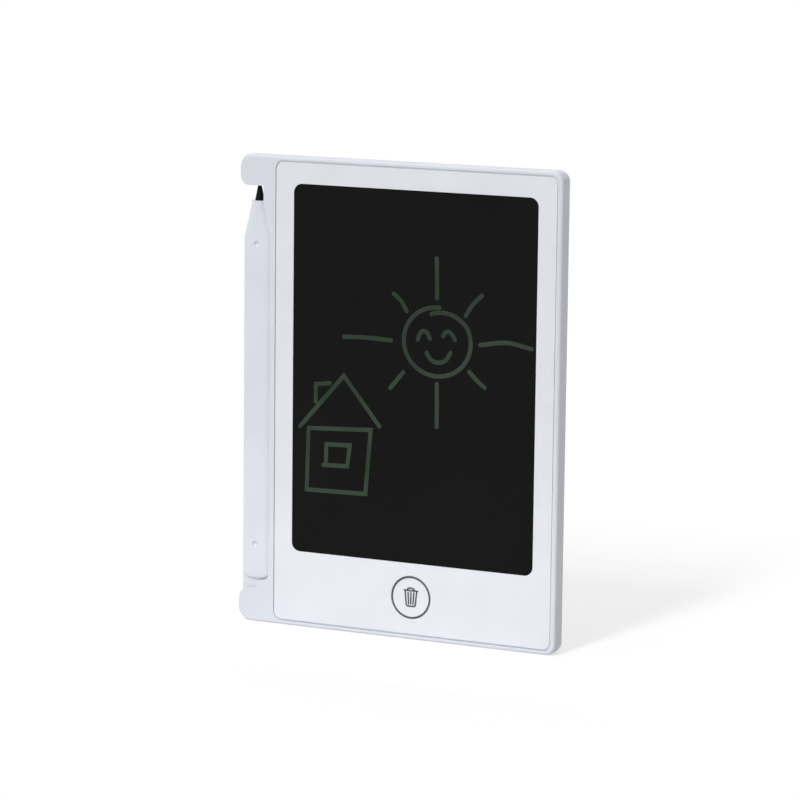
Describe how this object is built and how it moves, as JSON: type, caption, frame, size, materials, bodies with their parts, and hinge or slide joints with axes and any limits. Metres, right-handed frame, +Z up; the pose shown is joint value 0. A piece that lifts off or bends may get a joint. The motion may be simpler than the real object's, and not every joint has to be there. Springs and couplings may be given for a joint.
{
  "type": "lcd writing tablet",
  "caption": "Pocket writing tablet: a dark pressure sensitive screen in a thin white frame with a round erase key, and a flat stylus stored between two ears at its side.",
  "frame": {"origin": "middle of the bottom edge: centre of the bounding box in X and Y, at the lowest point in Z", "axes": "+X to the right across the screen, away from the stylus; the screen faces -Y; +Z up the long side, from the erase key to the top"},
  "size_m": [0.0856, 0.0048, 0.116],
  "materials": {
    "housing_white": "moulded white ABS, fine matt grain, softly rounded rims",
    "panel_white": "smooth satin white plate",
    "key_white": "smooth satin white cap",
    "key_ring_grey": "dark grey printed ring",
    "screen_black": "near black plastic film with a dull gloss",
    "adhesive_black": "black foam tape",
    "absorber_black": "dead matt black film",
    "backing_grey": "plain grey sheet",
    "board_green": "green solder resist",
    "chip_black": "black moulded package",
    "coil_dark": "dark ferrite",
    "capacitor_tan": "tan ceramic",
    "screw_steel": "plated steel",
    "dome_steel": "thin spring steel",
    "cell_steel": "bright nickel plated can",
    "contact_brass": "pressed spring brass",
    "film_tail_grey": "flexible film with printed conductors",
    "strip_rubber": "layered conductive rubber",
    "nib_black": "hard black plastic, lightly polished by use",
    "stylus_white": "moulded white plastic, fine matt grain"
  },
  "bodies": {
    "tablet": {"rear_housing": "housing_white", "front_panel": "panel_white", "window_adhesive": "adhesive_black", "lcd_film": "screen_black", "absorber_sheet": "absorber_black", "backing_plate": "backing_grey", "dome_switch": "dome_steel", "circuit_board": "board_green", "driver_chip": "chip_black", "boost_coil": "coil_dark", "storage_capacitor": "capacitor_tan", "board_screw_1": "screw_steel", "board_screw_2": "screw_steel", "film_tail": "film_tail_grey", "contact_strip": "strip_rubber", "coin_cell": "cell_steel", "cell_front_contact": "contact_brass", "cell_rim_contact": "contact_brass"},
    "erase_key": {"erase_key": "key_white", "erase_key_ring": "key_ring_grey"},
    "battery_door": {"battery_door": "housing_white", "battery_door_screw": "screw_steel"},
    "stylus": {"stylus_front_half": "stylus_white", "stylus_rear_half": "stylus_white", "stylus_nib": "nib_black"}
  },
  "joints": [
    {"name": "erase_key_press", "type": "slide", "parent": "tablet", "child": "erase_key", "axis": [0, 1, 0], "range_m": [0, 0.0003], "stiffness_N_per_m": 600},
    {"name": "stylus_lift", "type": "slide", "parent": "tablet", "child": "stylus", "axis": [-0.9877, 0, -0.1564], "range_m": [0, 0.03]},
    {"name": "battery_door_lift", "type": "slide", "parent": "tablet", "child": "battery_door", "axis": [0, 1, 0], "range_m": [0, 0.015]}
  ]
}
